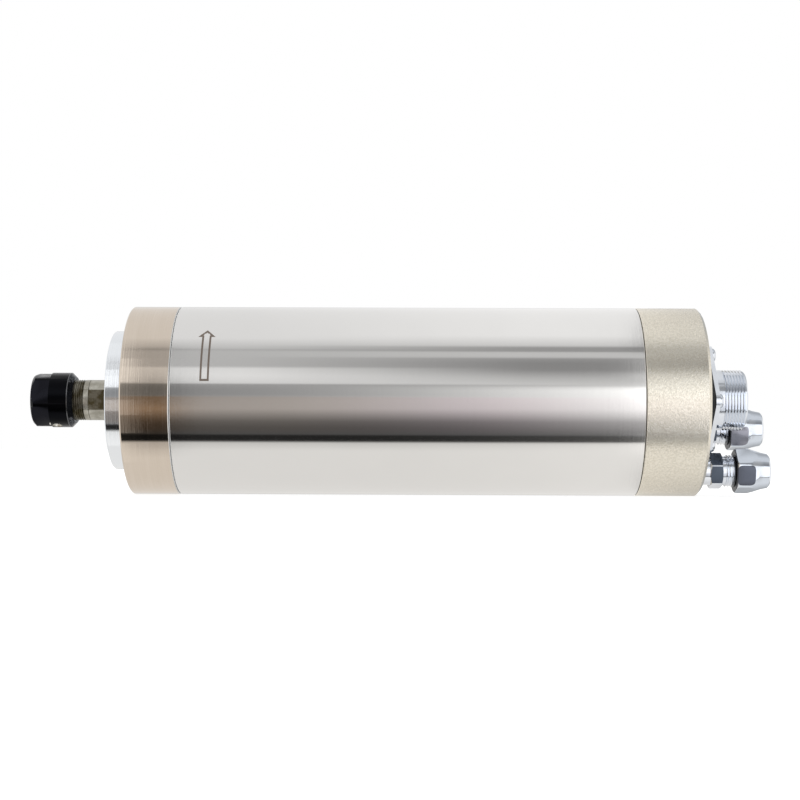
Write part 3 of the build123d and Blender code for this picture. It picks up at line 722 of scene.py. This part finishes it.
def screw_head(face, way, radius, depth, socket, y, z, cone=0.0, eased=0.3):
    """A round or countersunk head with a six-sided socket, its face looking one way along X."""
    back = face - way * depth
    shank = face - way * (depth + 2.0)
    head = turned(
        [
            (shank, 0.0),
            (shank, radius * 0.5),
            (back, radius * 0.5),
            (back, radius - cone),
            (face - way * eased, radius),
            (face, radius - eased),
            (face, 0.0),
        ],
        48,
        closed=False,
    )
    floor = face - way * min(depth * 0.7, 2.4)
    low, high = sorted((floor, face + way))
    return shifted(combine(head, hex_bar(low, high, socket, 38.0)), y, z)


def cap_screw_head(face, way, angle):
    place = around(angle, CAP_SCREW_CIRCLE)
    face = face - way * CAP_HEAD_SUNK
    return screw_head(face, way, CAP_HEAD_RADIUS, CAP_HEAD_HEIGHT, CAP_HEAD_SOCKET, *place)


def cover_screw_head(angle):
    sizes = COVER_HEAD_RADIUS, COVER_HEAD_HEIGHT, COVER_HEAD_SOCKET
    place = around(angle, COVER_SCREW_CIRCLE)
    return screw_head(COVER_FACE, -1, *sizes, *place, cone=1.4, eased=0.1)


quarters = (0.0, 90.0, 180.0, 270.0)
front_heads = [cap_screw_head(FRONT_FACE, -1, FRONT_SCREW_ANGLE + quarter) for quarter in quarters]
rear_heads = [cap_screw_head(REAR_FACE, 1, REAR_SCREW_ANGLE + quarter) for quarter in quarters]
piece("cap_screw_heads", joined(*front_heads, *rear_heads), "zinc_screws", "housing", "cap_screws")
cover_heads = [cover_screw_head(quarter) for quarter in quarters]
piece("cover_screw_heads", joined(*cover_heads), "zinc_screws", "housing", "cover_screws")


def box(low, high):
    """A plain block between two corners, to cut with."""
    mesh = bmesh.new()
    size = [(b - a) * MM for a, b in zip(low, high)]
    middle = [(a + b) / 2 * MM for a, b in zip(low, high)]
    place = Matrix.Translation(middle) @ Matrix.Diagonal((*size, 1.0))
    bmesh.ops.create_cube(mesh, size=1.0, matrix=place)
    return mesh


def bored(mesh, start, end, radius):
    """The same body with a round hole along X."""
    hole = [(start - 1.0, 0.0), (start - 1.0, radius), (end + 1.0, radius), (end + 1.0, 0.0)]
    return combine(mesh, turned(hole, 72, closed=False))


def flattened(mesh, y):
    """A closed body with its far side cut off square at y."""
    bmesh.ops.bisect_plane(
        mesh,
        geom=mesh.verts[:] + mesh.edges[:] + mesh.faces[:],
        dist=0.0005 * MM,
        plane_co=(0.0, y * MM, 0.0),
        plane_no=(0.0, y / abs(y), 0.0),
        clear_outer=True,
    )
    bmesh.ops.contextual_create(mesh, geom=[e for e in mesh.edges if e.is_boundary])
    bmesh.ops.recalc_face_normals(mesh, faces=mesh.faces)
    return mesh


# Shaft, collet and nut
def collet_taper():
    """The cone that the collet sits in, to cut with."""
    wide, narrow = (TAPER_MOUTH, TAPER_WIDE), (TAPER_BACK, TAPER_NARROW)
    return turned([(TAPER_MOUTH, 0.0), wide, narrow, (TAPER_BACK, 0.0)], 72, closed=False)


def nose_run(start, end):
    """A plain length of the shaft's nose, its front edge eased."""
    slope = [(start, RUN_IN_RADIUS), (start + RUN_IN_LENGTH, NOSE_RADIUS)]
    return turned([(start, 0.0), *slope, (end, NOSE_RADIUS), (end, 0.0)], closed=False)


nose_thread = thread(NOSE_END, THREAD_END, NOSE_RADIUS, NOSE_ROOT, NOSE_PITCH)
nose_thread = combine(nose_thread, collet_taper())
grip = nose_run(FLATS_FRONT, FLATS_REAR)
grip = flattened(flattened(grip, FLATS_ACROSS / 2), -FLATS_ACROSS / 2)
collar = combine(nose_run(THREAD_END, FLATS_FRONT), collet_taper())
journals = turned(
    [
        (FLATS_REAR, 0.0),
        (FLATS_REAR, NOSE_RADIUS),
        (BEARINGS_FRONT, NOSE_RADIUS),
        (BEARINGS_FRONT, JOURNAL_RADIUS),
        (BEARINGS_REAR, JOURNAL_RADIUS),
        (BEARINGS_REAR, SHOULDER_RADIUS),
        (SHOULDER_REAR, SHOULDER_RADIUS),
        (SHOULDER_REAR, CORE_RADIUS),
        (CORE_REAR, CORE_RADIUS),
        (CORE_REAR, TAIL_RADIUS),
        (SHAFT_END - TAIL_CHAMFER, TAIL_RADIUS),
        (SHAFT_END, TAIL_RADIUS - TAIL_CHAMFER),
        (SHAFT_END, 0.0),
    ],
    closed=False,
)
piece("shaft_body", joined(nose_thread, collar, grip, journals), "shaft_steel", "shaft", "spindle_shaft")
piece("collet_body", copy_of("spring_collet"), "spring_steel", "collet", "spring_collet")
piece("collet_nut_body", copy_of("collet_nut"), "black_oxide", "collet_nut", "collet_nut", edge=0.14)


# Power socket
def tube(start, end, outer, bore, ease=0.0, steps=96):
    """A round tube, its rear outer edge eased."""
    slope = [(end, outer - ease), (end - ease, outer)]
    return turned([(start, bore), (end, bore), *slope, (start, outer)], steps)


def threaded_tube(start, end, crest, root, pitch, bore, steps=96):
    """A round tube with a screw thread outside."""
    return bored(thread(start, end, crest, root, pitch, steps), start, end, bore)


to_corner, corner_cut = FLANGE_SIDE / 2**0.5, FLANGE_CORNER / 2**0.5
flange = prism(FLANGE_BACK, FLANGE_FRONT, 4, to_corner, CONNECTOR_TURN + 45.0, corner_cut, 8)
shell = joined(
    bored(flange, FLANGE_BACK, FLANGE_FRONT, CONNECTOR_BORE),
    tube(SKIRT_FRONT, FLANGE_BACK, SKIRT_RADIUS, CONNECTOR_BORE),
    tube(FLANGE_FRONT, THREADED_FROM, CONNECTOR_RADIUS, CONNECTOR_BORE, 0.15),
    threaded_tube(
        THREADED_FROM, THREADED_TO, CONNECTOR_RADIUS, THREADED_ROOT, THREADED_PITCH, CONNECTOR_BORE
    ),
    tube(THREADED_TO, CONNECTOR_END, RIM_RADIUS, CONNECTOR_BORE, 0.45),
)
piece("connector_body", shifted(shell, *CONNECTOR), "chrome_plate", "housing", "connector_shell")
for name, node, finish, edge in (
    ("connector_seal", "connector_gasket", "gasket_rubber", 0.15),
    ("connector_insert", "connector_insulator", "insulator_black", 0.2),
    ("contact_pins", "connector_pins", "contact_brass", 0.4),
):
    piece(name, copy_of(node), finish, "housing", node, edge=edge)


def pan_head(y, z, turn):
    """A domed head with a cross cut in it."""
    top = FLANGE_FRONT + PAN_HEIGHT
    root = FLANGE_FRONT - 4.0
    slopes = [radians(angle) for angle in (0, 18, 36, 52, 66, 78)]
    dome = [(FLANGE_FRONT + PAN_HEIGHT * sin(a), PAN_RADIUS * cos(a) ** 0.6) for a in slopes]
    profile = [(root, 0.0), (root, PAN_SHANK), (FLANGE_FRONT, PAN_SHANK), *dome, (top, 0.0)]
    head = turned(profile, 40, closed=False)
    for quarter in (0, 90):
        slot = box((top - 0.9, -1.35, -0.3), (top + 1.0, 1.35, 0.3))
        spun = Matrix.Rotation(radians(quarter + turn), 3, "X")
        bmesh.ops.rotate(slot, cent=(0, 0, 0), matrix=spun, verts=slot.verts)
        head = combine(head, slot)
    return shifted(head, CONNECTOR[0] + y, CONNECTOR[1] + z)


pans = [pan_head(*around(CONNECTOR_TURN + 45 + 90 * i, PAN_CIRCLE), 20 + 37 * i) for i in range(4)]
piece("connector_screw_heads", joined(*pans), "chrome_plate", "housing", "connector_screws")


# Water fittings and their hose nuts
def crowned_hex():
    """The fitting's grip, the corners of its two faces turned off."""
    corner = HEX_ACROSS / 3**0.5
    inner, outer, slope = corner - 0.75, corner + 0.02, 0.42
    crown = turned(
        [
            (HEX_BACK, 0.0),
            (HEX_BACK, inner),
            (HEX_BACK + slope, outer),
            (HEX_FRONT - slope, outer),
            (HEX_FRONT, inner),
            (HEX_FRONT, 0.0),
        ],
        closed=False,
    )
    return combine(hex_bar(HEX_BACK, HEX_FRONT, HEX_ACROSS, HEX_TURN, 0.3), crown, "INTERSECT")


def fitting(y, z):
    """A water fitting: its port in the cap, its grip, its hose thread and its spout."""
    spout = turned(
        [
            (HOSE_THREAD_END - 0.5, WATER_BORE),
            (SPOUT_END, WATER_BORE),
            (SPOUT_END, 2.35),
            (SPOUT_END - 0.7, SPOUT_RADIUS),
            (SPOUT_END - 1.4, SPOUT_RADIUS),
            (SPOUT_END - 1.6, 2.6),
            (HOSE_THREAD_END, SPOUT_RADIUS),
            (HOSE_THREAD_END - 0.5, SPOUT_RADIUS),
        ]
    )
    body = joined(
        tube(PORT_START, HEX_BACK, PORT_RADIUS, WATER_BORE),
        bored(crowned_hex(), HEX_BACK, HEX_FRONT, WATER_BORE),
        tube(HEX_FRONT, HOSE_THREAD_FRONT, 5.0, WATER_BORE, 0.1),
        threaded_tube(
            HOSE_THREAD_FRONT, HOSE_THREAD_END, HOSE_CREST, HOSE_ROOT, HOSE_PITCH, WATER_BORE, 64
        ),
        spout,
    )
    return shifted(body, y, z)


for name, place in (("inlet", INLET), ("outlet", OUTLET)):
    node, nut = f"{name}_fitting", f"{name}_hose_nut"
    shape, nut_shape = fitting(*place), copy_of(nut)
    piece(f"{name}_fitting_body", shape, f"{name}_plate", "housing", node, slot="chrome_plate")
    finish = f"{name}_nut_plate"
    piece(f"{name}_nut_body", nut_shape, finish, f"{name}_nut", nut, edge=0.24, slot="chrome_plate")

# The CAD solids that stay as they are get their finishes, most of them inside the barrel.
for part in frame["record"]["subparts"]:
    solid = frame["nodes"][part["node"]]
    if not solid.hide_render:
        solid.data.materials.clear()
        solid.data.materials.append(FINISHES[part["material_slot"]])


# Studio: bands of light and shade that run along the spindle, each at an angle in degrees from the
# viewer's horizon up and over the top, with its strength.
SHADED_END = [
    (-180, 0.55), (-160, 0.86), (-64, 0.87), (-53, 0.68), (-51.4, 0.02), (-43.4, 0.02), (-42.2, 0.085),
    (-33, 0.105), (-26, 0.15), (-18, 0.29), (-11, 0.43), (-1, 0.42), (4, 0.39), (5, 0.33), (12, 0.325),
    (18.4, 0.38), (19.6, 0.80), (29, 0.92), (38.6, 0.86), (40, 0.56), (61.5, 0.57), (63, 0.47),
    (64.5, 0.62), (80, 0.86), (160, 0.88), (180, 0.55),
]
LIT_END = [
    (-180, 0.60), (-160, 0.92), (-58, 0.97), (-52.5, 0.88), (-51, 0.10), (-43.4, 0.10), (-42, 0.19),
    (-33, 0.35), (-26, 0.46), (-19, 0.75), (-10, 1.05), (3, 1.22), (12, 1.32), (15.5, 1.1), (18, 0.72),
    (27, 0.55), (37, 0.30), (46, 0.29), (52, 0.36), (54, 0.65), (60.5, 0.65), (62, 0.36), (68, 0.38),
    (70, 0.72), (86, 1.0), (160, 1.0), (180, 0.60),
]
FITTINGS_END = [
    (-180, 0.62), (-150, 0.45), (-120, 0.66), (-90, 0.86), (-60, 0.86), (-47, 0.80), (-46, 0.16),
    (-43.5, 0.16), (-42.5, 1.3), (10, 1.5), (33, 1.3), (35, 0.31), (50, 0.31), (58, 0.43),
    (66, 0.50), (70, 0.74), (96, 0.74), (130, 0.46), (170, 0.60), (180, 0.62),
]

# How much of each band of light reaches the two caps.
FRONT_CAP_SHARE = [
    (-180, 1.0), (-75, 1.0), (-60, 0.78), (-53, 0.8), (-50, 0.4), (-42, 0.36), (-30, 0.42), (-22, 0.60),
    (-12, 0.72), (-3, 0.45), (15, 0.42), (19, 0.52), (30, 0.68), (40, 0.86), (60, 0.85), (64, 0.7),
    (68, 0.9), (80, 1.0), (180, 1.0),
]
REAR_CAP_SHARE = [
    (-180, 0.72), (-125, 0.52), (-98, 0.70), (-75, 0.96), (-62, 1.2), (-53, 1.3), (-50, 3.0), (-43, 3.0),
    (-38, 1.5), (-25, 1.24), (-12, 1.45), (15, 1.45), (24, 1.3), (32, 2.2), (48, 2.2), (54, 1.1),
    (70, 0.50), (92, 0.50), (120, 0.68), (180, 0.72),
]

# The X of the directions between which one light gives way to another: at the two caps, beyond them,
# at the two ends of the view, and from the shaded end's bands to the lit end's at three heights.
FRONT_CAP_COMES, FRONT_CAP_GOES = (-0.145, -0.151), (-0.1745, -0.178)
REAR_CAP_COMES, REAR_CAP_GOES = (0.137, 0.143), (0.171, 0.178)
NOSE_COMES, FITTINGS_COMES, ENDS_COME = (-0.1755, -0.181), (0.175, 0.20), (0.60, 0.85)
UPPER_BLEND, MIDDLE_BLEND, LOWER_BLEND = (-0.11, 0.07), (-0.14, 0.14), (-0.05, 0.14)

# Lit cards beyond the nose: the lowest and highest angle of each, and its strength.
NOSE_CARDS = [
    (20.52, 108.0, 0.94),
    (20.52, 50.4, 0.36),
    (-41.4, 0.0, 0.36),
    (-19.08, -1.08, 0.36),
    (-82.8, -55.08, 1.03),
]

# The tints of the bands: their colours, the angles that they cover, and where they change and fade.
WHITE, COOL, WARM = rgb(1.0, 1.0, 1.0), rgb(0.90, 0.945, 1.0), rgb(1.0, 0.985, 0.96)
BRONZE, ROSE = rgb(1.0, 0.67, 0.41), rgb(1.0, 0.65, 0.76)
TINT_SHARE, WARM_FROM = 0.26, -44.64
TINT_BAND = [(WARM_FROM, 0.0), (-36.0, 1.0), (3.24, 1.0), (4.32, 0.0)]
BRONZE_TO_ROSE, TINT_FADES = (-0.08, 0.02), (0.05, 0.13)

# The light beyond both ends, by height from underneath up to overhead.
END_LIGHT = [(0.0, 0.75), (0.26, 0.35), (0.33, 0.95), (0.67, 0.95), (0.74, 0.45), (1.0, 0.9)]


def share_of_turn(angle):
    """An angle up from the viewer's horizon as a share of the whole turn, which starts behind."""
    return (angle + 180.0) / 360.0


def studio():
    world = bpy.data.worlds.new("studio")
    bpy.context.scene.world = world
    sky = Finish(world)
    way = sky.node("TexCoord", output="Generated")
    x, y, z = [sky.node("SeparateXYZ", {}, {0: way}, axis) for axis in ("X", "Y", "Z")]
    turn = sky.node("Math", {"operation": "ARCTAN2"}, {0: z, 1: y * -1.0}) / tau + 0.5

    def bands(listed):
        return sky.ramp(turn, *[(share_of_turn(angle), strength) for angle, strength in listed])

    def between(low, high):
        return (turn > share_of_turn(low)) * (turn < share_of_turn(high))

    def across(start, end, value=x):
        return sky.node("MapRange", {}, {"Value": value, "From Min": start, "From Max": end})

    upper = turn > share_of_turn(18.9)
    middle = bands([(-25.2, 0.0), (-9.0, 1.0)])
    lower_share = middle * across(*MIDDLE_BLEND) ** 2.0 + (1.0 - middle) * across(*LOWER_BLEND) ** 2.0
    lit = upper * across(*UPPER_BLEND) + (1.0 - upper) * lower_share
    along = sky.mix(lit, bands(SHADED_END), bands(LIT_END))
    fittings = sky.mix(1.0, bands(FITTINGS_END), COOL, "MULTIPLY")
    along = sky.mix(across(*FITTINGS_COMES), along, fittings)
    on_front_cap = across(*FRONT_CAP_COMES) * (1.0 - across(*FRONT_CAP_GOES))
    along = sky.mix(on_front_cap, along, bands(FRONT_CAP_SHARE), "MULTIPLY")
    on_rear_cap = across(*REAR_CAP_COMES) * (1.0 - across(*REAR_CAP_GOES))
    along = sky.mix(on_rear_cap, along, bands(REAR_CAP_SHARE), "MULTIPLY")
    cards = sum(between(low, high) * strength for low, high, strength in NOSE_CARDS)
    along = sky.mix(1.0, along, cards * across(*NOSE_COMES), "LIGHTEN")
    tinted = TINT_SHARE + on_front_cap * (1.0 - TINT_SHARE)
    tinted = bands(TINT_BAND) * tinted * (1.0 - across(*TINT_FADES) * 0.8)
    tint = sky.mix(across(*BRONZE_TO_ROSE), BRONZE, ROSE)
    plain = sky.mix(turn < share_of_turn(WARM_FROM), WHITE, WARM)
    along = sky.mix(1.0, along, sky.mix(tinted, plain, tint), "MULTIPLY")
    light = sky.mix(across(*ENDS_COME, abs(x)), along, sky.ramp(z * 0.5 + 0.5, *END_LIGHT))
    seen = sky.mix(sky.node("LightPath", output="Is Camera Ray"), light, WHITE)
    sky.node_output("OutputWorld", sky.node("Background", {}, {"Color": seen, "Strength": 1.0}))


def floor():
    mesh = bmesh.new()
    bmesh.ops.create_grid(mesh, x_segments=1, y_segments=1, size=2.0)
    bmesh.ops.translate(mesh, vec=(0, 0, -(BARREL_RADIUS + 0.1) * MM), verts=mesh.verts)
    data = bpy.data.meshes.new("floor")
    mesh.to_mesh(data)
    mesh.free()
    paper = new_finish("floor_paper")
    grain = paper.noise(30.0)
    grey = paper.mix(grain, rgb(0.50, 0.50, 0.50), rgb(0.48, 0.48, 0.48))
    plain = paper.node("BsdfDiffuse", {}, {"Color": grey})
    glow = paper.node("Emission", {}, {"Color": WHITE, "Strength": 0.78})
    bright = paper.node("AddShader", {}, {0: plain, 1: glow})
    seen = paper.node("LightPath", output="Is Camera Ray")
    paper.node_output("OutputMaterial", paper.node("MixShader", {}, {0: seen, 1: plain, 2: bright}))
    data.materials.append(paper.owner)
    made = bpy.data.objects.new("floor", data)
    bpy.context.scene.collection.objects.link(made)
    made.visible_glossy = False


def overhead_lamp():
    light = bpy.data.lights.new("overhead_lamp", "AREA")
    light.shape = "DISK"
    light.size = 0.8
    light.energy = 5.0
    made = bpy.data.objects.new("overhead_lamp", light)
    bpy.context.scene.collection.objects.link(made)
    made.location = (0.1, -0.35, 0.9)
    made.rotation_euler = (-made.location).to_track_quat("-Z", "Y").to_euler()
    made.visible_glossy = False


# The camera: its lens in millimetres, its place in metres and its turns in radians.
SENSOR_WIDTH, FOCAL_LENGTH = 36.0, 72.28
CAMERA_PLACE = (0.00283, -0.5589, -0.0130)
CAMERA_YAW, CAMERA_PITCH, CAMERA_ROLL = 0.01, 0.024, 0.0039


def camera():
    lens = bpy.data.cameras.new("camera")
    lens.sensor_width = SENSOR_WIDTH
    lens.lens = FOCAL_LENGTH
    lens.clip_start = 0.01
    made = bpy.data.objects.new("camera", lens)
    bpy.context.scene.collection.objects.link(made)
    level = cos(CAMERA_PITCH)
    right = Vector((cos(CAMERA_YAW), sin(CAMERA_YAW), 0))
    ahead = Vector((-sin(CAMERA_YAW) * level, cos(CAMERA_YAW) * level, sin(CAMERA_PITCH)))
    up = right.cross(ahead)
    side = right * cos(CAMERA_ROLL) + up * sin(CAMERA_ROLL)
    top = up * cos(CAMERA_ROLL) - right * sin(CAMERA_ROLL)
    turn = Matrix((side, top, -ahead)).transposed().to_4x4()
    made.matrix_world = Matrix.Translation(CAMERA_PLACE) @ turn
    bpy.context.scene.camera = made


studio()
floor()
overhead_lamp()
camera()
bpy.context.scene.view_settings.view_transform = "Standard"
